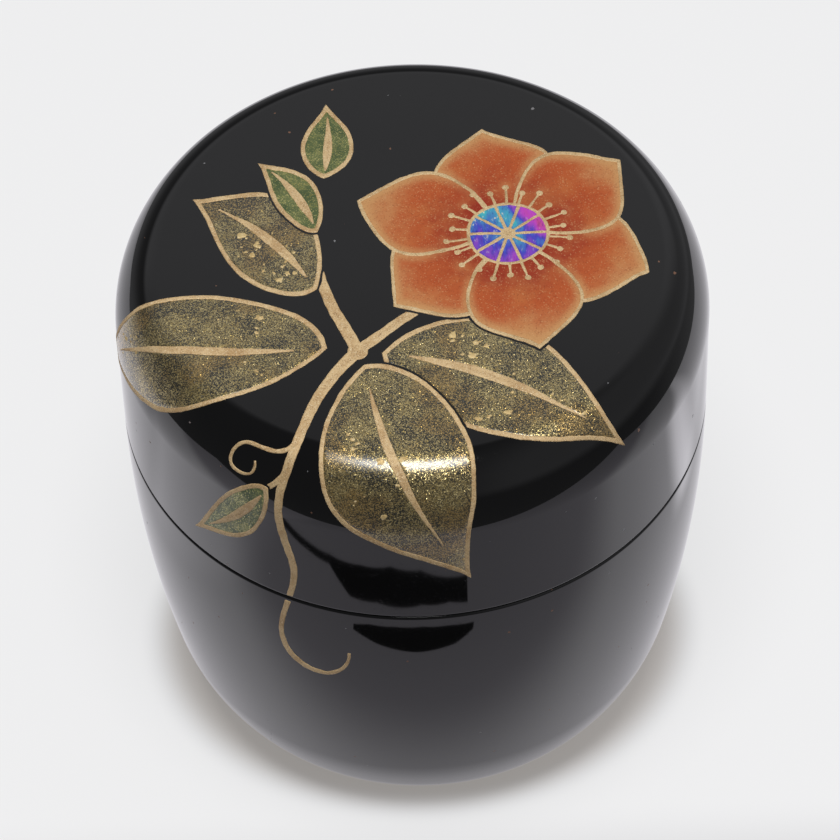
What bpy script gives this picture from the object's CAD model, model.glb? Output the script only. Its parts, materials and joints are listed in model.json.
import json
import math
import random
import bpy
import numpy as np
from mathutils import Matrix, Vector, noise
from mathutils.geometry import delaunay_2d_cdt
from mathutils.kdtree import KDTree


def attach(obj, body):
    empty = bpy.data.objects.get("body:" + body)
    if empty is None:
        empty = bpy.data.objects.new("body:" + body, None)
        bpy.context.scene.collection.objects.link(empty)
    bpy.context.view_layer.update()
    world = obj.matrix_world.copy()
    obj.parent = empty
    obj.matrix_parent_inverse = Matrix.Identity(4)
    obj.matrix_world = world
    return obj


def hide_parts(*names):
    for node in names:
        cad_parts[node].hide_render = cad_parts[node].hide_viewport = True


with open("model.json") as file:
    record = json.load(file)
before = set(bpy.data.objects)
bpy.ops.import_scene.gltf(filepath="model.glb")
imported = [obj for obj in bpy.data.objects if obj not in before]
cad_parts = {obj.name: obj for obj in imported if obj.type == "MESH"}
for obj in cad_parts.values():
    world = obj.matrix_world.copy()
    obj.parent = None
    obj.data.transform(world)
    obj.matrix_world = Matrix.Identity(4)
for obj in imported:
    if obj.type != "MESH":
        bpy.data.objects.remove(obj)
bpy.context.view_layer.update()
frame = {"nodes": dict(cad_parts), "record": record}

mm = 0.001

# The turned form in millimetres, as (radius, height) about the upright axis
form = {
    "radius": 33.0,
    "height": 68.5,
    "seam": 45.3,
    "foot": 22.3,
    "sideSweep": 11.0,
    "footSlope": 50.0,
    "shoulder": 10.8,
    "shoulderSweep": 36.0,
    "crownEdge": 4.4,
    "crownEdgeSweep": 50.0,
    "segments": 360,
    "joinWithin": 0.002,
}


def cosine(angle):
    return math.cos(math.radians(angle))


def sine(angle):
    return math.sin(math.radians(angle))


def polar(centre, radius, angle):
    return (centre[0] + radius * cosine(angle), centre[1] + radius * sine(angle))


def tangentArcs(height, inset, first, last):
    # radii of two arcs that leave upright and turn to first, then to last
    dropOne, dropTwo = sine(first), sine(last) - sine(first)
    inOne, inTwo = 1 - cosine(first), cosine(first) - cosine(last)
    det = dropOne * inTwo - dropTwo * inOne
    return (height * inTwo - dropTwo * inset) / det, (dropOne * inset - inOne * height) / det


sideRadius, turnRadius = tangentArcs(form["seam"], form["radius"] - form["foot"],
                                     form["sideSweep"], form["footSlope"])
sideCentre = (form["radius"] - sideRadius, form["seam"])
turnCentre = polar(sideCentre, sideRadius - turnRadius, -form["sideSweep"])
crownStart = form["shoulderSweep"] + form["crownEdgeSweep"]
crownReach = (form["radius"] - form["shoulder"] * (1 - cosine(form["shoulderSweep"]))
              - form["crownEdge"] * (cosine(form["shoulderSweep"]) - cosine(crownStart)))
crownRadius = crownReach / cosine(crownStart)
crownCentre = (0.0, form["height"] - crownRadius)
edgeCentre = polar(crownCentre, crownRadius - form["crownEdge"], crownStart)
shoulderCentre = polar(edgeCentre, form["crownEdge"] - form["shoulder"], form["shoulderSweep"])

# Curves of the outside that the decoration lies on: centre, radius, first and last angle
outside = {
    "lid": [(shoulderCentre, form["shoulder"], 0, form["shoulderSweep"]),
            (edgeCentre, form["crownEdge"], form["shoulderSweep"], crownStart),
            (crownCentre, crownRadius, crownStart, 90.5)],
    "body": [(sideCentre, sideRadius, -form["sideSweep"], 4),
             (turnCentre, turnRadius, -form["footSlope"], -form["sideSweep"])],
}


# Profile points carry their own normal, so that polished surfaces mirror without facets
def arcPoints(centre, radius, first, last, step=0.4, side=1):
    count = max(3, math.ceil(abs(math.radians(last - first)) * radius / step))
    made = []
    for i in range(count + 1):
        angle = first + (last - first) * i / count
        made.append((*polar(centre, radius, angle), side * cosine(angle), side * sine(angle)))
    return made


def linePoints(start, end, normal, count=1):
    across, up = (end[0] - start[0]) / count, (end[1] - start[1]) / count
    return [(start[0] + across * i, start[1] + up * i, *normal) for i in range(count + 1)]


def makeMesh(name, verts, faces):
    mesh = bpy.data.meshes.new(name)
    mesh.from_pydata([], [], [])
    mesh.vertices.add(len(verts))
    mesh.vertices.foreach_set("co", np.asarray(verts, np.float32).ravel())
    sizes = np.array([len(f) for f in faces], np.int32)
    mesh.loops.add(int(sizes.sum()))
    mesh.loops.foreach_set("vertex_index", np.concatenate([np.asarray(f, np.int32) for f in faces]))
    mesh.polygons.add(len(faces))
    mesh.polygons.foreach_set("loop_start", np.concatenate(([0], np.cumsum(sizes)[:-1])).astype(np.int32))
    mesh.update(calc_edges=True)
    mesh.validate()
    mesh.polygons.foreach_set("use_smooth", np.ones(len(mesh.polygons), bool))
    return mesh


def lathe(name, profile):
    # closed profile, given with the solid on its left, turned about the upright axis
    loop = []
    for p in profile:
        if not loop or math.dist(p[:2], loop[-1][:2]) > form["joinWithin"]:
            loop.append(p)
    if math.dist(loop[0][:2], loop[-1][:2]) < form["joinWithin"]:
        loop.pop()
    count = form["segments"]
    turn = np.linspace(0, 2 * math.pi, count, endpoint=False)
    verts, normals, rows = [], [], []
    for r, z, nr, nz in loop:
        if r < 1e-6:
            rows.append([len(verts)] * count)
            verts.append((0, 0, z))
            normals.append((0, 0, 1 if nz > 0 else -1))
        else:
            rows.append(range(len(verts), len(verts) + count))
            verts.extend(zip(r * np.cos(turn), r * np.sin(turn), [z] * count))
            normals.extend(zip(nr * np.cos(turn), nr * np.sin(turn), [nz] * count))
    faces = []
    for i, row in enumerate(rows):
        after = rows[(i + 1) % len(rows)]
        if row[0] == row[-1] and after[0] == after[-1]:
            continue
        for j in range(count):
            k = (j + 1) % count
            corners = [row[j], row[k], after[k], after[j]]
            faces.append([c for n, c in enumerate(corners) if c not in corners[:n]])
    mesh = makeMesh(name, np.array(verts) * mm, faces)
    mesh.normals_split_custom_set_from_vertices(np.array(normals))
    obj = bpy.data.objects.new(name, mesh)
    bpy.context.scene.collection.objects.link(obj)
    return obj


class Wire:
    # a node's output that takes part in Python expressions
    def __init__(self, maker, socket):
        self.maker, self.socket = maker, socket

    def __add__(self, other): return self.maker.maths("ADD", self, other)
    def __radd__(self, other): return self.maker.maths("ADD", other, self)
    def __sub__(self, other): return self.maker.maths("SUBTRACT", self, other)
    def __rsub__(self, other): return self.maker.maths("SUBTRACT", other, self)
    def __mul__(self, other): return self.maker.maths("MULTIPLY", self, other)
    def __rmul__(self, other): return self.maker.maths("MULTIPLY", other, self)
    def __pow__(self, other): return self.maker.maths("POWER", self, other)
    def __rpow__(self, other): return self.maker.maths("POWER", other, self)
    def __lt__(self, other): return self.maker.maths("LESS_THAN", self, other)
    def __gt__(self, other): return self.maker.maths("GREATER_THAN", self, other)      # number < wire

    def smooth(self, low, high):
        # 0 at low, 1 at high, eased; works either way round
        start, end = (0.0, 1.0) if low < high else (1.0, 0.0)
        sockets = {"Value": self, "From Min": min(low, high), "From Max": max(low, high),
                   "To Min": start, "To Max": end}
        return self.maker.node("ShaderNodeMapRange", {"interpolation_type": "SMOOTHSTEP"}, sockets)["Result"]

    def part(self, name):
        return self.maker.node("ShaderNodeSeparateColor", {}, {"Color": self})[name]

    def axis(self, name):
        return self.maker.node("ShaderNodeSeparateXYZ", {}, {"Vector": self})[name]


class Node:
    def __init__(self, maker, made):
        self.maker, self.made = maker, made

    def __getitem__(self, name):
        return Wire(self.maker, self.made.outputs[name])


class Maker:
    # builds one node tree, for a material or for the world
    def __init__(self, owner, outputKind):
        owner.use_nodes = True
        self.owner, self.tree = owner, owner.node_tree
        self.tree.nodes.clear()
        self.output = self.tree.nodes.new(outputKind)

    def node(self, kind, settings, sockets):
        made = self.tree.nodes.new(kind)
        for name, value in settings.items():
            setattr(made, name, value)
        for name, value in sockets.items():
            if isinstance(value, Wire):
                self.tree.links.new(value.socket, made.inputs[name])
            else:
                made.inputs[name].default_value = value
        return Node(self, made)

    def maths(self, operation, first, second):
        return self.node("ShaderNodeMath", {"operation": operation}, {0: first, 1: second})["Value"]

    def vector(self, operation, first, second):
        return self.node("ShaderNodeVectorMath", {"operation": operation}, {0: first, 1: second})["Vector"]

    def mix(self, factor, first, second):
        made = self.node("ShaderNodeMix", {"data_type": "RGBA"}, {})
        for index, value in ((0, factor), (6, first), (7, second)):
            if isinstance(value, Wire):
                self.tree.links.new(value.socket, made.made.inputs[index])
            else:
                made.made.inputs[index].default_value = value if index == 0 else (*value[:3], 1.0)
        return Wire(self, made.made.outputs[2])

    def place(self):
        return self.node("ShaderNodeTexCoord", {}, {})["Object"]

    def attribute(self, name):
        return self.node("ShaderNodeAttribute", {"attribute_name": name}, {})["Fac"]

    def length(self, vector):
        return self.node("ShaderNodeVectorMath", {"operation": "LENGTH"}, {0: vector})["Value"]

    def cloud(self, where, scale, detail=2.0, rough=0.5):
        sockets = {"Vector": where, "Scale": scale, "Detail": detail, "Roughness": rough}
        return self.node("ShaderNodeTexNoise", {}, sockets)

    def cells(self, where, scale):
        return self.node("ShaderNodeTexVoronoi", {}, {"Vector": where, "Scale": scale})

    def bump(self, height, distance, strength=1.0, normal=None):
        sockets = {"Height": height, "Distance": distance, "Strength": strength}
        if normal is not None:
            sockets["Normal"] = normal
        return self.node("ShaderNodeBump", {}, sockets)["Normal"]

    def tilted(self, cellColour, amount):
        # the surface's normal, tipped at random for each cell
        spread = self.vector("SUBTRACT", cellColour, (0.5, 0.5, 0.5))
        normal = self.node("ShaderNodeNewGeometry", {}, {})["Normal"]
        wide = self.vector("MULTIPLY", spread, amount * 2 if isinstance(amount, Wire) else (2 * amount,) * 3)
        tipped = self.vector("ADD", normal, wide)
        return self.node("ShaderNodeVectorMath", {"operation": "NORMALIZE"}, {0: tipped})["Vector"]

    def finish(self, sockets):
        filled = {name: (*value, 1.0) if isinstance(value, tuple) else value for name, value in sockets.items()}
        shader = self.node("ShaderNodeBsdfPrincipled", {}, filled)
        self.tree.links.new(shader["BSDF"].socket, self.output.inputs["Surface"])
        return self.owner


def material(name):
    return Maker(bpy.data.materials.new(name), "ShaderNodeOutputMaterial")


def lacquerMaterial(name, look):
    # polished black lacquer: a very slight swell, fine hairlines and a little settled dust
    m = material(name)
    where = m.place()
    swell = m.cloud(where, look["swellScale"], 1.0)["Fac"]
    ragged = m.vector("MULTIPLY", m.cloud(where, 2500.0, 1.0)["Color"], (0.3 * mm,) * 3)
    warped = m.vector("ADD", where, ragged)
    speck = m.cells(warped, look["dustScale"])
    dust = speck["Distance"] < speck["Color"].part("Red") ** look["dustRarity"] * look["dustSize"]
    wavy = m.vector("ADD", where, m.vector("MULTIPLY", m.cloud(where, 40.0, 0.0)["Color"], (20 * mm,) * 3))
    stretched = m.vector("MULTIPLY", wavy, look["hairStretch"])
    hair = m.cloud(stretched, 900.0, 0.0)["Fac"].smooth(0.74, 0.78)
    dustTone = m.mix(speck["Color"].part("Green").smooth(0.45, 0.55), look["dust"], look["dustWarm"])
    tone = m.mix(dust, m.mix(m.cloud(where, 90.0)["Fac"], look["deep"], look["soft"]), dustTone)
    hazy = m.cloud(where, 160.0, 3.0)["Fac"]
    rough = look["rough"] + hazy * look["roughSpread"] + hair * look["hairRough"] + dust * 0.5
    return m.finish({"Base Color": tone, "Roughness": rough, "IOR": look["ior"],
                     "Normal": m.bump(swell, look["swell"])})


def goldMaterial(name, look):
    # gold powder laid in lacquer: satin, grainy, worn a little darker in places
    m = material(name)
    where = m.place()
    grain = m.cells(where, look["grainScale"])
    fleck = grain["Color"].part("Red")
    worn = m.cloud(where, look["wornScale"], 4.0)["Fac"].smooth(0.30, 0.62)
    body = m.mix(worn, look["deep"], look["gold"])
    patchy = m.cloud(where, look["wornScale"] * 2.2, 3.0)["Fac"].smooth(0.35, 0.60)
    middle = m.attribute("edge").smooth(0.30, 0.50) * patchy
    thin = m.mix(middle * look["thinning"], body, look["deep"])
    pitted = m.mix(fleck.smooth(0.22, 0.02) * (0.55 + middle * 0.4), thin, look["pit"])
    tone = m.mix(fleck.smooth(0.82, 0.97) * 0.8, pitted, look["bright"])
    rough = look["rough"] + grain["Color"].part("Green") * look["roughSpread"]
    normal = m.bump(grain["Distance"], look["grainHeight"], 0.8, m.tilted(grain["Color"], look["tilt"]))
    return m.finish({"Base Color": tone, "Roughness": rough, "Metallic": look["metal"], "Normal": normal})


def dustMaterial(name, look):
    # coarse gold dust sprinkled over dark lacquer, each grain lying at its own slant
    m = material(name)
    where = m.place()
    coarse = m.cells(where, look["coarseScale"])
    fine = m.cells(where, look["fineScale"])
    drift = m.cloud(where, look["driftScale"], 3.0)["Fac"].smooth(0.32, 0.68)
    thick = look["thin"] + drift * look["thickSpread"]
    grainShape = coarse["Distance"].smooth(0.52, 0.34)
    coarseGrain = (coarse["Color"].part("Red") < thick) * grainShape
    fineGrain = (fine["Color"].part("Red") < thick * look["fineShare"]) * fine["Distance"].smooth(0.60, 0.40)
    anyGrain = m.maths("MAXIMUM", coarseGrain, fineGrain)
    ground = m.mix(drift, look["ground"], look["groundLight"])
    amber = m.cloud(where, look["amberScale"], 2.0)["Fac"].smooth(0.48, 0.62)
    yellow = m.mix(coarse["Color"].part("Green"), look["grainDeep"], look["grainLight"])
    tone = m.mix(anyGrain, ground, m.mix(amber * 0.5, yellow, look["amber"]))
    # most grains lie nearly flat, a few stand well up
    grainColour = m.mix(coarseGrain, fine["Color"], coarse["Color"])
    wild = m.maths("FRACT", grainColour.part("Blue") * 7.3, 0.0)
    normal = m.tilted(grainColour, look["tilt"] * (0.30 + wild * wild * 1.7))
    rough = look["groundRough"] + anyGrain * (look["grainRough"] - look["groundRough"])
    return m.finish({"Base Color": tone, "Roughness": rough, "Metallic": anyGrain * look["metal"],
                     "Specular IOR Level": look["shine"], "Coat Weight": look["coat"],
                     "Coat Roughness": look["coatRough"], "Coat IOR": look["coatIor"], "Normal": normal})


def petalMaterial(name, look):
    # red powder deepening to the heart, dusted with gold towards the rim
    m = material(name)
    where = m.place()
    grain = m.cells(where, look["grainScale"])
    drift = m.cloud(where, look["driftScale"], 4.0, 0.6)["Fac"]
    patch = m.cloud(where, look["patchScale"], 3.0, 0.55)["Fac"]
    reach = m.attribute("heart") + (drift - 0.5) * 0.45
    body = m.mix(reach.smooth(0.24, 0.66), look["heart"], look["petal"])
    lit = m.mix(patch.smooth(0.42, 0.72) * 0.55, body, look["light"])
    faded = m.mix(reach.smooth(0.62, 1.02) * 0.8, lit, look["rim"])
    fromRim = m.attribute("edge") + (drift - 0.5) * look["rimWander"]
    pale = fromRim.smooth(look["rimWidth"], 0.0) * reach.smooth(0.30, 0.75)
    dusted = m.mix(pale * 0.7, faded, look["rim"])
    fleck = grain["Color"].part("Red")
    pitted = m.mix(fleck.smooth(0.20, 0.0) * 0.35, dusted, look["pit"])
    tone = m.mix(fleck.smooth(0.90, 0.99) * 0.45, pitted, look["fleck"])
    rough = look["rough"] + grain["Color"].part("Green") * 0.15
    return m.finish({"Base Color": tone, "Roughness": rough, "Specular IOR Level": look["shine"],
                     "Normal": m.tilted(grain["Color"], look["tilt"])})


def shellMaterial(name, look):
    # cut shell: colour that drifts through the layers, fine growth lines, glassy surface
    m = material(name)
    where = m.place()
    along = m.vector("MULTIPLY", where, look["stretch"])
    sheet = m.cloud(along, look["sheetScale"], 2.0)["Fac"]
    ripple = m.cloud(along, look["rippleScale"], 3.0)["Fac"]
    fromMiddle = m.vector("SUBTRACT", where, look["middle"])
    over = fromMiddle.axis("Y") * (1 / look["radius"])
    aside = fromMiddle.axis("X") * (1 / look["radius"])
    sheen = (aside + over).smooth(0.35, 1.10)
    place = look["hue"] - over * look["hueUp"] + sheen * look["hueAside"]
    layers = (sheet - 0.5) * look["hueSpread"] + m.attribute("strip") * look["stripSpread"]
    hsv = {"Red": m.maths("FRACT", place + layers, 0.0), "Green": look["depth"], "Blue": look["value"]}
    vivid = m.node("ShaderNodeCombineColor", {"mode": "HSV"}, hsv)["Color"]
    glint = ripple.smooth(0.60, 0.72) * (0.25 + (over - aside).smooth(-0.2, 1.0) * 0.75)
    tone = m.mix(glint * 0.9, m.mix(ripple.smooth(0.46, 0.30) * 0.45, vivid, look["deep"]), look["glint"])
    return m.finish({"Base Color": tone, "Roughness": look["rough"] + ripple * 0.15, "Metallic": look["metal"],
                     "Normal": m.bump(ripple, look["rippleHeight"]),
                     "Coat Weight": look["coat"], "Coat Roughness": look["coatRough"]})


def woodMaterial(name, look):
    # close-grained turned wood
    m = material(name)
    where = m.place()
    pulled = m.vector("MULTIPLY", where, (1.0, 1.0, 0.08))
    trunk = {"Vector": m.vector("MULTIPLY", where, (1.0, 0.15, 1.0)), "Scale": look["ringScale"],
             "Distortion": 3.0, "Detail": 3.0}
    rings = m.node("ShaderNodeTexWave", {"wave_type": "RINGS", "rings_direction": "Y"}, trunk)["Fac"]
    fibre = m.cloud(pulled, look["fibreScale"], 4.0)["Fac"]
    tone = m.mix(rings * 0.6 + fibre * 0.4, look["dark"], look["light"])
    return m.finish({"Base Color": tone, "Roughness": look["rough"] + fibre * look["roughSpread"],
                     "Normal": m.bump(fibre, look["fibreHeight"])})


def lidOutline(inset, step, side=1):
    wall = form["radius"] - inset
    return (linePoints((wall, form["seam"] + lidLacquer["wallStart"]), (wall, shoulderCentre[1]), (side, 0), 12)
            + arcPoints(shoulderCentre, form["shoulder"] - inset, 0, form["shoulderSweep"], step, side)
            + arcPoints(edgeCentre, form["crownEdge"] - inset, form["shoulderSweep"], crownStart, step / 2, side)
            + arcPoints(crownCentre, crownRadius - inset, crownStart, 90, 3 * step, side))


lidLacquer = {
    "coat": 0.40,
    "edge": 0.25,
    "innerRadius": 31.1,
    "arris": 0.50,
    "innerArris": 0.15,
    "wallStart": 0.6,
    "look": {"deep": (0.0016, 0.0016, 0.0018), "soft": (0.0026, 0.0026, 0.0028),
             "dust": (0.22, 0.22, 0.23), "dustWarm": (0.20, 0.10, 0.06), "dustRarity": 5.0,
             "dustScale": 620.0, "dustSize": 0.13, "swellScale": 70.0, "swell": 0.0000035,
             "hairStretch": (1.0, 9.0, 3.0), "hairRough": 0.05,
             "rough": 0.022, "roughSpread": 0.03, "ior": 1.53},
}
blackLacquer = lacquerMaterial("black lacquer", lidLacquer["look"])
ar, innerAr = lidLacquer["arris"], lidLacquer["innerArris"]
seam = form["seam"]
inner, edgeTop = lidLacquer["innerRadius"], seam + lidLacquer["edge"]
profile = (linePoints((inner, edgeTop), (inner, seam + innerAr), (-1, 0))
           + arcPoints((inner + innerAr, seam + innerAr), innerAr, 180, 270, 0.03)
           + arcPoints((form["radius"] - ar, seam + ar), ar, 270, 360, 0.04)
           + lidOutline(0, 0.4)
           + lidOutline(lidLacquer["coat"], 1.0, -1)[::-1]
           + linePoints((form["radius"] - lidLacquer["coat"], edgeTop), (inner, edgeTop), (0, 1)))
lidOuter = lathe("lidLacquer", profile)
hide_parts("lid_outer_coat", "lid_edge_coat")
lidOuter.data.materials.append(blackLacquer)
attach(lidOuter, "lid")

lidInside = {
    "ceiling": 65.7,
    "corner": 7.0,
    "coat": 0.25,
    "look": {"deep": (0.0016, 0.0016, 0.0018), "soft": (0.003, 0.003, 0.0032),
             "dust": (0.2, 0.2, 0.2), "dustWarm": (0.18, 0.10, 0.06), "dustRarity": 5.0,
             "dustScale": 520.0, "dustSize": 0.11, "swellScale": 90.0, "swell": 0.000006,
             "hairStretch": (1.0, 7.0, 4.0), "hairRough": 0.08,
             "rough": 0.06, "roughSpread": 0.06, "ior": 1.53},
}
innerLacquer = lacquerMaterial("inner lacquer", lidInside["look"])


def hollowOutline(growth, side):
    corner, ceiling = lidInside["corner"], lidInside["ceiling"] + growth
    centre = (inner - corner, lidInside["ceiling"] - corner)
    return (linePoints((0, ceiling), (centre[0], ceiling), (0, side), 8)
            + arcPoints(centre, corner + growth, 90, 0, 0.5, side)
            + linePoints((inner + growth, centre[1]), (inner + growth, edgeTop), (side, 0), 4))


lidInner = lathe("lidInsideLacquer", hollowOutline(0, -1) + hollowOutline(lidInside["coat"], 1)[::-1])
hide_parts("lid_inner_coat")
lidInner.data.materials.append(innerLacquer)
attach(lidInner, "lid")

bodyLacquer = {
    "coat": 0.40,
    "baseCoat": 0.35,
    "rimCoat": 0.20,
    "ledge": 45.05,
    "rimRadius": 31.0,
    "rimTop": 54.3,
    "rimRound": 0.40,
    "rimInnerRound": 0.20,
    "teaRadius": 29.4,
    "arris": 0.34,
    "ledgeRound": 0.15,
    "recessRound": 0.2,
    "footRound": 0.30,
    "recessRadius": 20.2,
    "recessDepth": 0.6,
    "lip": 0.05,
}
b = bodyLacquer
footAngle = -math.degrees(math.asin(turnCentre[1] / turnRadius))
roundAngle = -math.degrees(math.asin((turnCentre[1] - b["footRound"]) / (turnRadius - b["footRound"])))
roundCentre = polar(turnCentre, turnRadius - b["footRound"], roundAngle)
ledgeAngle = -math.degrees(math.asin((seam - b["ledge"]) / (sideRadius - b["coat"])))
arrisAngle = -math.degrees(b["arris"] / sideRadius)
recess, hollow, corner = b["recessRadius"], b["recessDepth"], b["recessRound"]
rim, rimTop, rimRound, teaRound = b["rimRadius"], b["rimTop"], b["rimRound"], b["rimInnerRound"]
underRim = (rim - b["rimCoat"], rimTop - b["rimCoat"])
overBase = (recess + b["baseCoat"], hollow + b["baseCoat"])
profile = (linePoints((0, hollow), (recess - corner, hollow), (0, -1), 4)
           + arcPoints((recess - corner, hollow - corner), corner, 90, 0, 0.05, -1)
           + arcPoints((recess + corner, corner), corner, 180, 270, 0.05)
           + arcPoints(roundCentre, b["footRound"], 270, 360 + roundAngle, 0.05)
           + arcPoints(turnCentre, turnRadius, roundAngle, -form["sideSweep"], 0.4)
           + arcPoints(sideCentre, sideRadius, -form["sideSweep"], arrisAngle, 0.6)
           + arcPoints((form["radius"] - b["arris"], seam - b["arris"]), b["arris"], 0, 90, 0.04)
           + arcPoints((rim + b["ledgeRound"], seam + b["ledgeRound"]), b["ledgeRound"], 270, 180, 0.04, -1)
           + linePoints((rim, seam + b["ledgeRound"]), (rim, rimTop - rimRound), (1, 0), 6)
           + arcPoints((rim - rimRound, rimTop - rimRound), rimRound, 0, 90, 0.05)
           + arcPoints((b["teaRadius"] + teaRound, rimTop - teaRound), teaRound, 90, 180, 0.04)
           + linePoints((b["teaRadius"] + b["lip"], underRim[1]), underRim, (0, -1))
           + linePoints(underRim, (underRim[0], b["ledge"]), (-1, 0))
           + linePoints((underRim[0], b["ledge"]), (form["radius"] - b["coat"], b["ledge"]), (0, -1))
           + arcPoints(sideCentre, sideRadius - b["coat"], ledgeAngle, -form["sideSweep"], 1.8, -1)
           + arcPoints(turnCentre, turnRadius - b["coat"], -form["sideSweep"], footAngle, 1.2, -1)
           + linePoints((overBase[0], b["baseCoat"]), overBase, (1, 0))
           + linePoints(overBase, (0, overBase[1]), (0, 1)))
bodyOuter = lathe("bodyLacquer", profile)
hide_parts("body_outer_coat", "rim_coat", "base_coat")
bodyOuter.data.materials.append(blackLacquer)
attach(bodyOuter, "body")

bodyInside = {"floor": 3.4, "corner": 4.0, "coat": 0.25}
wallInset = form["radius"] - b["teaRadius"]
cornerZ = bodyInside["floor"] + bodyInside["corner"]
cornerReach = turnRadius - wallInset - bodyInside["corner"]
cornerAngle = -math.degrees(math.asin((turnCentre[1] - cornerZ) / cornerReach))
cornerCentre = polar(turnCentre, cornerReach, cornerAngle)


def teaOutline(growth, side):
    wall, floorZ = b["teaRadius"] + growth, bodyInside["floor"] - growth
    return (linePoints((wall, underRim[1]), (wall, seam), (side, 0), 4)
            + arcPoints(sideCentre, sideRadius - wallInset + growth, 0, -form["sideSweep"], 0.8, side)
            + arcPoints(turnCentre, turnRadius - wallInset + growth, -form["sideSweep"], cornerAngle, 0.6, side)
            + arcPoints(cornerCentre, bodyInside["corner"] + growth, cornerAngle, -90, 0.4, side)
            + linePoints((cornerCentre[0], floorZ), (0, floorZ), (0, -side), 8))


bodyInner = lathe("bodyInsideLacquer", teaOutline(0, -1) + teaOutline(bodyInside["coat"], 1)[::-1])
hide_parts("body_inner_coat")
bodyInner.data.materials.append(innerLacquer)
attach(bodyInner, "body")

woodCores = {"dark": (0.20, 0.10, 0.045), "light": (0.46, 0.29, 0.15), "ringScale": 180.0, "fibreScale": 2600.0,
             "fibreHeight": 0.00004, "rough": 0.45, "roughSpread": 0.25}
wood = woodMaterial("turned wood", woodCores)
for name in ("body_core", "lid_core"):
    frame["nodes"][name].data.materials.clear()
    frame["nodes"][name].data.materials.append(wood)
print("turned lacquer done")


# Decoration: outlines taken from the CAD pieces and redrawn, as a brush would, on the curved surface
drawing = {
    "height": seam + 0.5043 * (form["height"] - seam),
    "tilt": 50.0,
    "leftTurn": -55.0,
    "start": 60.0,      # how far out along the view the drawing begins its way to the surface
    "steps": 90,
    "blossom": (10.8, 9.0),
    "blossomReach": 17.0,
    "drift": 0.10,
    "driftScale": 0.35,
    "shakeScale": 1.3,
    "underside": 0.05,
    "sampleStep": 0.04,
    "seed": 7,
}
noise.seed_set(drawing["seed"])


def viewPlane(turn):
    # the plane that a drawing is made in, facing its view and turned about the upright axis
    out, up = cosine(drawing["tilt"]), sine(drawing["tilt"])
    z = np.array((sine(turn) * out, -cosine(turn) * out, up))
    x = np.array((cosine(turn), sine(turn), 0.0))
    return {"origin": np.array((0.0, 0.0, drawing["height"])), "x": x, "y": np.cross(z, x), "z": z}


frontView = viewPlane(0)
leftView = viewPlane(drawing["leftTurn"])


def fromOutside(body, points, height=0.0):
    # distance from the body's outside, the normal there, and the point moved to a height over it
    r = np.hypot(points[:, 0], points[:, 1]) + 1e-12
    z = points[:, 2]
    gap, normalR, normalZ = r - form["radius"], np.ones_like(r), np.zeros_like(r)
    newR, newZ = np.full_like(r, form["radius"]) + height, z.copy()
    height = np.zeros_like(r) + height
    for centre, radius, first, last in outside[body]:
        angle = np.arctan2(z - centre[1], r - centre[0])
        on = (np.degrees(angle) >= first) & (np.degrees(angle) <= last)
        gap[on] = np.hypot(r - centre[0], z - centre[1])[on] - radius
        normalR[on], normalZ[on] = np.cos(angle[on]), np.sin(angle[on])
        newR[on] = centre[0] + (radius + height[on]) * normalR[on]
        newZ[on] = centre[1] + (radius + height[on]) * normalZ[on]
    ux, uy = points[:, 0] / r, points[:, 1] / r
    return gap, np.stack((ux * normalR, uy * normalR, normalZ), 1), np.stack((ux * newR, uy * newR, newZ), 1)


def outlineEdges(faces):
    # edges that only one triangle has, in that triangle's order
    edges = {}
    for a, c, d in faces.tolist():
        for start, end in ((a, c), (c, d), (d, a)):
            if (end, start) in edges:
                del edges[(end, start)]
            else:
                edges[(start, end)] = True
    return list(edges)


def outlineOf(node, body, view):
    # closed outlines of a CAD piece's outer face, as seen in the drawing
    mesh = frame["nodes"][node].data
    co = np.empty(len(mesh.vertices) * 3, np.float32)
    mesh.vertices.foreach_get("co", co)
    co = co.reshape(-1, 3).astype(float) / mm
    mesh.calc_loop_triangles()
    tri = np.empty(len(mesh.loop_triangles) * 3, np.int32)
    mesh.loop_triangles.foreach_get("vertices", tri)
    kept, same = np.unique(np.round(co * 1000).astype(np.int64), axis=0, return_inverse=True)
    spot = kept / 1000
    tri = same.ravel()[tri].reshape(-1, 3)
    gap, normal, _ = fromOutside(body, spot)
    a, c, d = spot[tri[:, 0]], spot[tri[:, 1]], spot[tri[:, 2]]
    facing = np.cross(c - a, d - a)
    size = np.linalg.norm(facing, axis=1)
    outer = (gap[tri] > 0.004).all(1) & (size > 1e-9)                   # proud of the lacquer
    outer &= (facing * normal[tri[:, 0]]).sum(1) > 0.85 * size          # and turned outwards
    following = {}
    for start, end in outlineEdges(tri[outer]):
        following.setdefault(start, []).append(end)
    loops = []
    while following:
        start = next(iter(following))
        loop, at = [start], start
        while at in following:
            after = following[at].pop()
            if not following[at]:
                del following[at]
            if after == start:
                break
            loop.append(after)
            at = after
        flat = spot[loop] - view["origin"]
        flat = np.stack((flat @ view["x"], flat @ view["y"]), 1)
        turned = np.roll(flat, -1, 0)
        area = 0.5 * abs((flat[:, 0] * turned[:, 1] - flat[:, 1] * turned[:, 0]).sum())
        if len(loop) > 4 and area > 0.01:
            loops.append(flat)
    return loops


def evened(loop, step):
    # the outline with even spacing, its corners kept
    points = []
    for i in range(len(loop)):
        start, end = loop[i], loop[(i + 1) % len(loop)]
        length = np.hypot(*(end - start))
        if length < 1e-4:
            continue
        count = max(1, int(round(length / step)))
        points += [start + (end - start) * j / count for j in range(count)]
    kept = [points[0]]
    for p in points[1:]:
        if np.hypot(*(p - kept[-1])) > 0.25 * step:
            kept.append(p)
    return np.array(kept)


def outwards(loop):
    before, after = np.roll(loop, 1, 0), np.roll(loop, -1, 0)
    normal = np.stack((after[:, 1] - before[:, 1], before[:, 0] - after[:, 0]), 1)
    return normal / (np.linalg.norm(normal, axis=1)[:, None] + 1e-9)


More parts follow.
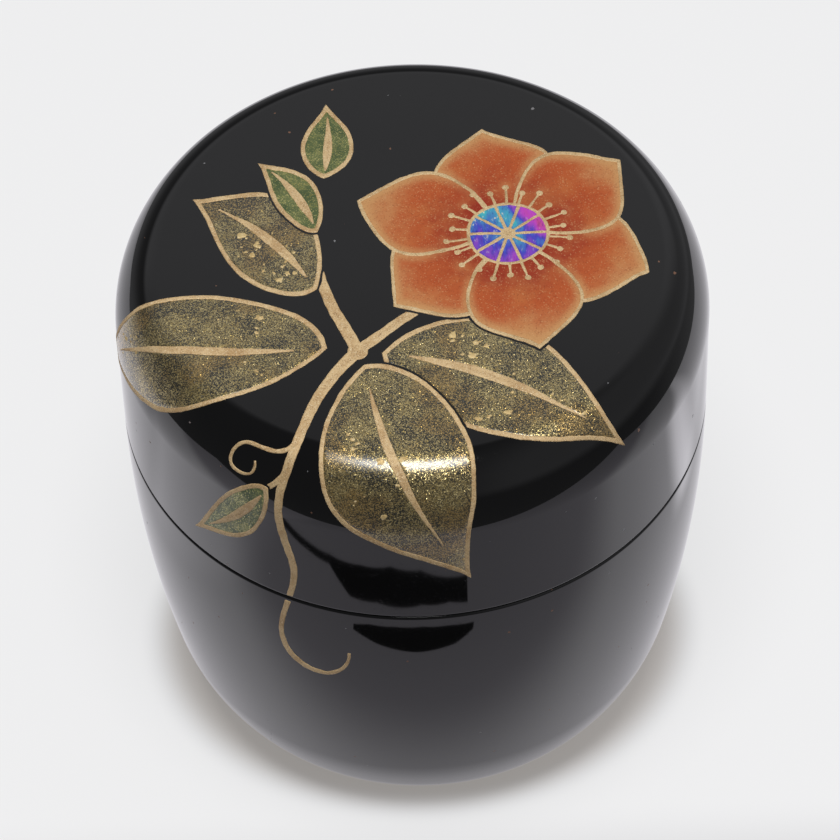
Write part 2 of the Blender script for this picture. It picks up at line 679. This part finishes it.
def handDrawn(loop, grow, wander, seed):
    # moves the outline outwards, unevenly as a brush does, and lets the whole drawing drift a little
    made = []
    wide, fine, amount = drawing["driftScale"], drawing["shakeScale"], drawing["drift"]
    for p, n in zip(loop, outwards(loop)):
        drift = noise.noise_vector(Vector((p[0] * wide, p[1] * wide, 3.7)))
        shake = noise.noise(Vector((p[0] * fine, p[1] * fine, seed)))
        made.append((p[0] + n[0] * (grow + wander * shake) + amount * drift[0],
                     p[1] + n[1] * (grow + wander * shake) + amount * drift[1]))
    return np.array(made)


def inside(loops, points):
    # which points lie inside the outlines, by counting crossings, a few thousand points at a time
    hit = np.zeros(len(points), bool)
    for loop in loops:
        x0, y0 = loop[:, 0], loop[:, 1]
        x1, y1 = np.roll(x0, -1), np.roll(y0, -1)
        for at in range(0, len(points), 4000):
            px, py = points[at:at + 4000, 0, None], points[at:at + 4000, 1, None]
            crosses = (y0 > py) != (y1 > py)
            with np.errstate(divide="ignore", invalid="ignore"):
                where = x0 + (py - y0) * (x1 - x0) / (y1 - y0)
            hit[at:at + 4000] ^= (crosses & (px < where)).sum(1) % 2 == 1
    return hit


def edgeFinder(loops):
    # gives a function for the distance from points to the nearest outline
    dense = np.concatenate([evened(loop, drawing["sampleStep"]) for loop in loops])
    tree = KDTree(len(dense))
    for i, p in enumerate(dense):
        tree.insert((p[0], p[1], 0), i)
    tree.balance()
    return lambda points: np.array([tree.find((p[0], p[1], 0))[2] for p in points])


def filled(loops, spacing, rise):
    # triangles that fill the outlines, with a ring of points just inside and an even scatter further in
    distance = edgeFinder(loops)
    low, high = np.concatenate(loops).min(0), np.concatenate(loops).max(0)
    rows = np.arange(low[1], high[1], spacing * 0.87)
    grid = np.array([(x + (spacing / 2 if j % 2 else 0), y) for j, y in enumerate(rows)
                     for x in np.arange(low[0], high[0], spacing)])
    grid = grid[inside(loops, grid)]
    grid = grid[distance(grid) > rise + 0.45 * spacing] if len(grid) else grid.reshape(0, 2)
    ring = np.concatenate([loop - rise * outwards(loop) for loop in loops])
    ring = ring[inside(loops, ring)]
    ring = ring[distance(ring) > 0.85 * rise]
    points, edges = [], []
    for loop in loops:
        first = len(points)
        points += [Vector(p) for p in loop]
        edges += [(first + i, first + (i + 1) % len(loop)) for i in range(len(loop))]
    points += [Vector(p) for p in ring] + [Vector(p) for p in grid]
    verts, _, faces, *_ = delaunay_2d_cdt(points, edges, [], 0, 1e-6)
    verts = np.array([tuple(v) for v in verts])
    faces = np.array(faces)
    faces = faces[inside(loops, verts[faces].mean(1))]
    used = np.unique(faces)
    again = np.full(len(verts), -1)
    again[used] = np.arange(len(used))
    return verts[used], again[faces], distance(verts[used])


def laid(body, view, flat, height):
    # drops drawn points along the view onto the curved surface, at a height over it
    at = view["origin"] + flat[:, :1] * view["x"] + flat[:, 1:2] * view["y"] + drawing["start"] * view["z"]
    for _ in range(drawing["steps"]):
        gap, _, _ = fromOutside(body, at)
        at = at - gap[:, None] * view["z"]
    return fromOutside(body, at, height)[2]


def decorate(name, node, body, kind, surface, seed):
    view = leftView if node.startswith("leaf_left") else frontView
    loops = [handDrawn(evened(loop, kind["step"]), kind["grow"], kind["wander"], seed)
             for loop in outlineOf(node, body, view)]
    flat, faces, edge = filled(loops, kind["spacing"], kind["rise"])
    share = np.clip(edge / kind["rise"], 0, 1)
    height = kind["sink"] + (kind["top"] - kind["sink"]) * np.sqrt(1 - (1 - share) ** 2)
    # an underside sunk in the lacquer and walls along the outline close the piece
    under = len(flat)
    allFaces = ([tuple(f) for f in faces] + [tuple(under + i for i in f[::-1]) for f in faces]
                + [(end, start, under + start, under + end) for start, end in outlineEdges(faces)])
    flat, edge = np.concatenate((flat, flat)), np.concatenate((edge, edge))
    height = np.concatenate((height, np.full(under, kind["sink"] - drawing["underside"])))
    flakeStart = len(allFaces)
    verts = laid(body, view, flat, height)
    extra = kind.get("flakes")
    materials = [surface]
    if extra:
        flakeFlat, flakeFaces, flakeHeight = scatterFlakes(loops, extra, seed)
        if len(flakeFlat):
            flakeVerts = laid(body, view, flakeFlat, flakeHeight)
            allFaces += [tuple(i + len(verts) for i in f) for f in flakeFaces]
            verts = np.concatenate((verts, flakeVerts))
            edge = np.concatenate((edge, np.zeros(len(flakeVerts))))
            flat = np.concatenate((flat, flakeFlat))
            materials.append(flakeGold)
    mesh = makeMesh(name, verts * mm, allFaces)
    heartX, heartY = drawing["blossom"]
    fromHeart = np.hypot(flat[:, 0] - heartX, (flat[:, 1] - heartY) / sine(drawing["tilt"]))
    marks = {"edge": edge, "heart": fromHeart / drawing["blossomReach"],
             "strip": np.full(len(verts), (seed * 0.37) % 1)}
    for label, values in marks.items():
        mesh.attributes.new(label, "FLOAT", "POINT").data.foreach_set("value", values.astype(np.float32))
    for each in materials:
        mesh.materials.append(each)
    if len(materials) > 1:
        index = np.zeros(len(mesh.polygons), np.int32)
        index[flakeStart:] = 1
        mesh.polygons.foreach_set("material_index", index)
    obj = bpy.data.objects.new(name, mesh)
    bpy.context.scene.collection.objects.link(obj)
    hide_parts(node)
    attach(obj, body)
    return obj


def scatterFlakes(loops, extra, seed):
    # small torn flakes of gold leaf in loose clusters
    pick = random.Random(100 + seed)
    low, high = np.concatenate(loops).min(0), np.concatenate(loops).max(0)
    flat, faces, heights = [], [], []
    for _ in range(extra["clusters"]):
        centre = None
        for _ in range(60):
            trial = np.array([(pick.uniform(low[0], high[0]), pick.uniform(low[1], high[1]))])
            if inside(loops, trial)[0]:
                centre = trial[0]
                break
        if centre is None:
            continue
        for _ in range(pick.randint(*extra["each"])):
            spread = extra["spread"]
            spot = centre + np.array((pick.gauss(0, spread), pick.gauss(0, spread * 0.8)))
            size = extra["size"] * pick.choice((0.35, 0.5, 0.5, 0.7, 1.0, 1.5))
            corners = pick.randint(7, 12)
            turn, slim = pick.uniform(0, 6.28), pick.uniform(0.45, 1.0)
            ring = []
            for k in range(corners):
                a = turn + 6.283 * (k + pick.uniform(-0.3, 0.3)) / corners
                reach = size * pick.uniform(0.45, 1.2)
                ring.append((spot[0] + reach * math.cos(a), spot[1] + reach * slim * math.sin(a)))
            ring = np.array(ring)
            if not inside(loops, ring).all():
                continue
            first = len(flat)
            middle = ring.mean(0)
            narrower = [tuple(middle + (p - middle) * 0.86) for p in ring]
            flat += [tuple(p) for p in ring] + narrower + [tuple(middle)]
            lift = pick.uniform(0.8, 1.2) * extra["thick"]
            heights += [0.01] * corners + [extra["base"] + lift] * corners + [extra["base"] + lift * 1.1]
            faces.append(tuple(first + k for k in reversed(range(corners))))
            for k in range(corners):
                after = (k + 1) % corners
                faces.append((first + k, first + after, first + corners + after, first + corners + k))
                faces.append((first + corners + k, first + corners + after, first + 2 * corners))
    return np.array(flat).reshape(-1, 2), faces, np.array(heights)


goldLines = {
    "step": 0.12, "spacing": 0.12, "grow": 0.035, "wander": 0.05, "rise": 0.05, "top": 0.062, "sink": -0.012,
    "look": {"gold": (0.78, 0.56, 0.29), "deep": (0.60, 0.39, 0.18), "bright": (0.92, 0.75, 0.48),
             "pit": (0.30, 0.16, 0.07), "thinning": 0.6, "grainScale": 11000.0, "wornScale": 420.0,
             "rough": 0.50, "roughSpread": 0.20, "metal": 0.15, "grainHeight": 0.00002, "tilt": 0.16},
}
goldPowder = goldMaterial("gold powder", goldLines["look"])
flakes = {
    "look": {"gold": (0.80, 0.60, 0.28), "deep": (0.66, 0.46, 0.19), "bright": (0.92, 0.76, 0.46),
             "pit": (0.40, 0.25, 0.10), "thinning": 0.0, "grainScale": 5200.0, "wornScale": 900.0,
             "rough": 0.50, "roughSpread": 0.2, "metal": 0.3, "grainHeight": 0.00001, "tilt": 0.12},
}
flakeGold = goldMaterial("gold flake", flakes["look"])

dustLeaves = {
    "step": 0.15, "spacing": 0.32, "grow": 0.07, "wander": 0.02, "rise": 0.05, "top": 0.030, "sink": -0.012,
    "flakes": {"clusters": 4, "each": (5, 12), "spread": 1.3, "size": 0.38, "base": 0.028, "thick": 0.014},
    "look": {"coarseScale": 6400.0, "fineScale": 11500.0, "driftScale": 330.0, "thin": 0.42, "thickSpread": 0.40,
             "fineShare": 0.85, "ground": (0.020, 0.019, 0.012), "groundLight": (0.060, 0.048, 0.020),
             "grainDeep": (0.44, 0.31, 0.09), "grainLight": (0.90, 0.73, 0.34), "tilt": 0.29,
             "amber": (0.50, 0.27, 0.06), "amberScale": 150.0, "shine": 0.25,
             "groundRough": 0.30, "grainRough": 0.34, "metal": 0.80,
             "coat": 1.0, "coatRough": 0.25, "coatIor": 1.64},
}
goldDust = dustMaterial("gold dust", dustLeaves["look"])

greenLeaves = {
    "step": 0.12, "spacing": 0.25, "grow": 0.07, "wander": 0.02, "rise": 0.05, "top": 0.030, "sink": -0.012,
    "look": {"coarseScale": 6200.0, "fineScale": 11500.0, "driftScale": 500.0, "thin": 0.20, "thickSpread": 0.30,
             "fineShare": 0.7, "ground": (0.075, 0.11, 0.040), "groundLight": (0.16, 0.19, 0.07),
             "grainDeep": (0.30, 0.32, 0.09), "grainLight": (0.80, 0.72, 0.30), "tilt": 0.28,
             "amber": (0.36, 0.30, 0.07), "amberScale": 200.0, "shine": 0.25,
             "groundRough": 0.45, "grainRough": 0.34, "metal": 0.6,
             "coat": 0.25, "coatRough": 0.20, "coatIor": 1.5},
}
greenGold = dustMaterial("green gold", greenLeaves["look"])

petals = {
    "step": 0.15, "spacing": 0.32, "grow": 0.07, "wander": 0.02, "rise": 0.05, "top": 0.030, "sink": -0.012,
    "look": {"heart": (0.34, 0.032, 0.014), "petal": (0.52, 0.108, 0.030), "light": (0.60, 0.20, 0.060),
             "rim": (0.66, 0.37, 0.15), "pit": (0.20, 0.03, 0.012), "fleck": (0.74, 0.42, 0.20),
             "grainScale": 9000.0, "driftScale": 300.0, "patchScale": 190.0,
             "rimWidth": 1.15, "rimWander": 1.2, "rough": 0.55, "shine": 0.22, "tilt": 0.10},
}
redGold = petalMaterial("red gold powder", petals["look"])

shells = {
    "step": 0.10, "spacing": 0.20, "grow": 0.09, "wander": 0.01, "rise": 0.05, "top": 0.028, "sink": -0.012,
    "look": {"stretch": (1.0, 0.35, 1.0), "sheetScale": 900.0, "rippleScale": 4200.0,
             "hue": 0.59, "hueUp": 0.12, "hueAside": 0.26, "hueSpread": 0.30, "stripSpread": 0.05,
             "depth": 0.90, "value": 0.66, "deep": (0.03, 0.02, 0.20),
             "glint": (0.95, 0.95, 0.72), "middle": (0.0108, 0.0029, 0.0), "radius": 0.0042,
             "rough": 0.16, "metal": 0.30, "rippleHeight": 0.000012, "coat": 0.25, "coatRough": 0.08},
}
cutShell = shellMaterial("cut shell", shells["look"])

kinds = {"red_gold": (petals, redGold), "shell": (shells, cutShell), "gold": (goldLines, goldPowder),
         "gold_dust": (dustLeaves, goldDust), "green_gold": (greenLeaves, greenGold)}
bodyOf = {node: body for body, nodes in frame["record"]["behaviour"]["bodies"].items() for node in nodes}
count = 0
for row in frame["record"]["subparts"]:
    node, slotName = row["node"], row["material_slot"]
    if slotName in kinds:
        kind, surface = kinds[slotName]
        words = node.split("_")
        pieceName = words[0] + "".join(w.capitalize() for w in words[1:])
        count += 1
        decorate(pieceName, node, bodyOf[node], kind, surface, count)
print("decoration done:", count, "pieces")

stageLook = {
    "floor": (0.86, 0.86, 0.865),
    "floorFar": (0.50, 0.49, 0.515),
    "mirrorTint": (1.0, 0.975, 1.03),
    "shadowTone": (0.86, 0.815, 0.775),
    "glow": 1.135,
    "glowShare": {"near": 0.27, "nearMirrored": 0.35, "far": 0.70},
    "keyDirection": (76.0, 183.0),
    "keyDistance": 0.70,
    "keySize": 0.28,
    "keyRadiance": 15.5,
    "keyAim": (0, 0, 0.05),
}


def flatCard(name, corners, z=0.0):
    mesh = bpy.data.meshes.new(name)
    mesh.from_pydata([(x, y, z) for x, y in corners], [], [tuple(range(len(corners)))])
    obj = bpy.data.objects.new(name, mesh)
    bpy.context.scene.collection.objects.link(obj)
    return obj


floor = flatCard("floor", [(-0.21, -0.092), (0.21, -0.092), (0.21, 0.24), (-0.21, 0.24)], -0.00005)
# The sheet glows a little for the camera and in the lacquer's reflections, and keeps its soft shadow
m = material("white sheet")
spot = m.place()
fromAxis = m.length(spot)
fromFoot = m.length(m.vector("MULTIPLY", spot, (1.0, 1.2, 1.0)))
ray = m.node("ShaderNodeLightPath", {}, {})
seen, mirrored = ray["Is Camera Ray"], ray["Is Glossy Ray"]
floorTone = m.mix(spot.axis("Y").smooth(-0.047, -0.026), stageLook["floorFar"], stageLook["floor"])
sheetTone = m.mix(fromFoot.smooth(0.033, 0.028), floorTone, stageLook["shadowTone"])
sheet = m.node("ShaderNodeBsdfDiffuse", {}, {"Color": sheetTone})["BSDF"]
aside, deep = spot.axis("X"), spot.axis("Y")
# the light of the windows on the sheet, bright on the right and faint on the left, seen in the lacquer alone
window = (aside.smooth(0.050, 0.058) * deep.smooth(0.0, 0.010) * (1.2 - deep.smooth(0.012, 0.024) * 0.9)
          + aside.smooth(-0.050, -0.060) * deep.smooth(0.014, 0.004) * 0.3)
mirrorTone = m.vector("MULTIPLY", m.vector("MULTIPLY", floorTone, stageLook["mirrorTint"]), window + 1.0)
glowTone = m.mix(mirrored, sheetTone, mirrorTone)
glow = m.node("ShaderNodeEmission", {}, {"Color": glowTone, "Strength": stageLook["glow"]})["Emission"]
near, nearMirrored, far = (stageLook["glowShare"][key] for key in ("near", "nearMirrored", "far"))
share = (seen * (near + fromFoot.smooth(0.0288, 0.0345) * (far - near))
         + mirrored * (nearMirrored + fromAxis.smooth(0.022, 0.032) * (far - nearMirrored)))
both = m.node("ShaderNodeMixShader", {}, {0: share, 1: sheet, 2: glow})["Shader"]
m.tree.links.new(both.socket, m.output.inputs["Surface"])
floor.data.materials.append(m.owner)

dark = material("dark card")
darkCard = dark.finish({"Base Color": (0.01, 0.01, 0.011), "Roughness": 0.8})
# Outlines in millimetres of two dark cards that only the lacquer mirrors
cardShapes = {
    "cardFar": [(-75, -50.6), (-54, -54.9), (-43.4, -60.6), (-34.6, -64.8), (-25.5, -64.5), (-16, -67.3),
                (0, -69.2), (10, -68.6), (16.3, -66.9), (17.6, -70.9), (0, -74.5), (-12, -74), (-23.4, -70.8),
                (-35, -66.3), (-43.6, -62), (-54, -56.3), (-75, -51.9)],
    "cardNear": [(-22.5, -59.8), (-17.7, -62.1), (-9, -63.9), (0, -64.7), (9, -63.9), (17, -62.1), (16, -60.3),
                 (10, -58.4), (-2, -57.5), (-14, -57.6), (-22, -58.3)],
}
for name, corners in cardShapes.items():
    card = flatCard(name, [(x * mm, y * mm) for x, y in corners], 0.0004)
    card.data.materials.append(darkCard)
    card.visible_camera = card.visible_diffuse = card.visible_shadow = False

world = bpy.data.worlds.new("studio")
bpy.context.scene.world = world
w = Maker(world, "ShaderNodeOutputWorld")
towards = w.node("ShaderNodeTexCoord", {}, {})["Generated"]
right, behind, up = towards.axis("X"), towards.axis("Y"), towards.axis("Z")
studio = {"tone": (0.97, 0.97, 1.0, 1.0), "walls": 0.12, "backPanel": 0.42, "rightSide": 0.20, "lowBack": 0.12}
backPanel = behind.smooth(0.30, 0.70) * up.smooth(0.36, 0.52) * up.smooth(0.95, 0.85) * right.smooth(0.75, 0.25)
rightSide = right.smooth(0.0, 0.6) * up.smooth(-0.1, 0.1)
lowBack = behind.smooth(-0.2, 0.4) * up.smooth(0.3, -0.1)
level = (studio["walls"] + backPanel * studio["backPanel"] + rightSide * studio["rightSide"]
         + lowBack * studio["lowBack"])
sky = w.node("ShaderNodeBackground", {}, {"Color": studio["tone"], "Strength": level})
w.tree.links.new(sky["Background"].socket, w.output.inputs["Surface"])


def direction(elevation, azimuth):
    return Vector((sine(azimuth) * cosine(elevation), cosine(azimuth) * cosine(elevation), sine(elevation)))


lamp = bpy.data.lights.new("key", "AREA")
lamp.shape = "DISK"
lamp.size = stageLook["keySize"]
lamp.energy = stageLook["keyRadiance"] * math.pi * math.pi * (stageLook["keySize"] / 2) ** 2
key = bpy.data.objects.new("key", lamp)
bpy.context.scene.collection.objects.link(key)
toKey = direction(*stageLook["keyDirection"])
key.location = Vector(stageLook["keyAim"]) + toKey * stageLook["keyDistance"]
key.rotation_euler = toKey.to_track_quat("Z", "Y").to_euler()

# Camera at the photograph's angle, panned and tipped so that its aim lands on that pixel of the image
shot = {"elevation": 50.66, "distance": 0.5457, "lens": 202.9, "sensor": 36.0, "aim": (0, 0, 0.03425),
        "aimPixel": (416.9, 448.4), "imageSide": 840, "roll": 1.85}
lens = bpy.data.cameras.new("camera")
lens.lens = shot["lens"]
lens.sensor_width = shot["sensor"]
camera = bpy.data.objects.new("camera", lens)
bpy.context.scene.collection.objects.link(camera)
bpy.context.scene.camera = camera
fromAim = Vector((0, -cosine(shot["elevation"]), sine(shot["elevation"])))
focal = shot["lens"] / shot["sensor"] * shot["imageSide"]
offX, offY = shot["aimPixel"][0] - shot["imageSide"] / 2, shot["imageSide"] / 2 - shot["aimPixel"][1]
roll = shot["roll"]
panned = math.atan((cosine(roll) * offX + sine(roll) * offY) / focal)
tipped = math.atan((cosine(roll) * offY - sine(roll) * offX) / focal)
turned = (fromAim.to_track_quat("Z", "Y").to_matrix().to_4x4() @ Matrix.Rotation(panned, 4, "Y")
          @ Matrix.Rotation(-tipped, 4, "X") @ Matrix.Rotation(-math.radians(roll), 4, "Z"))
camera.matrix_world = Matrix.Translation(Vector(shot["aim"]) + fromAim * shot["distance"]) @ turned
bpy.context.scene.view_settings.view_transform = "Standard"
print("stage done")
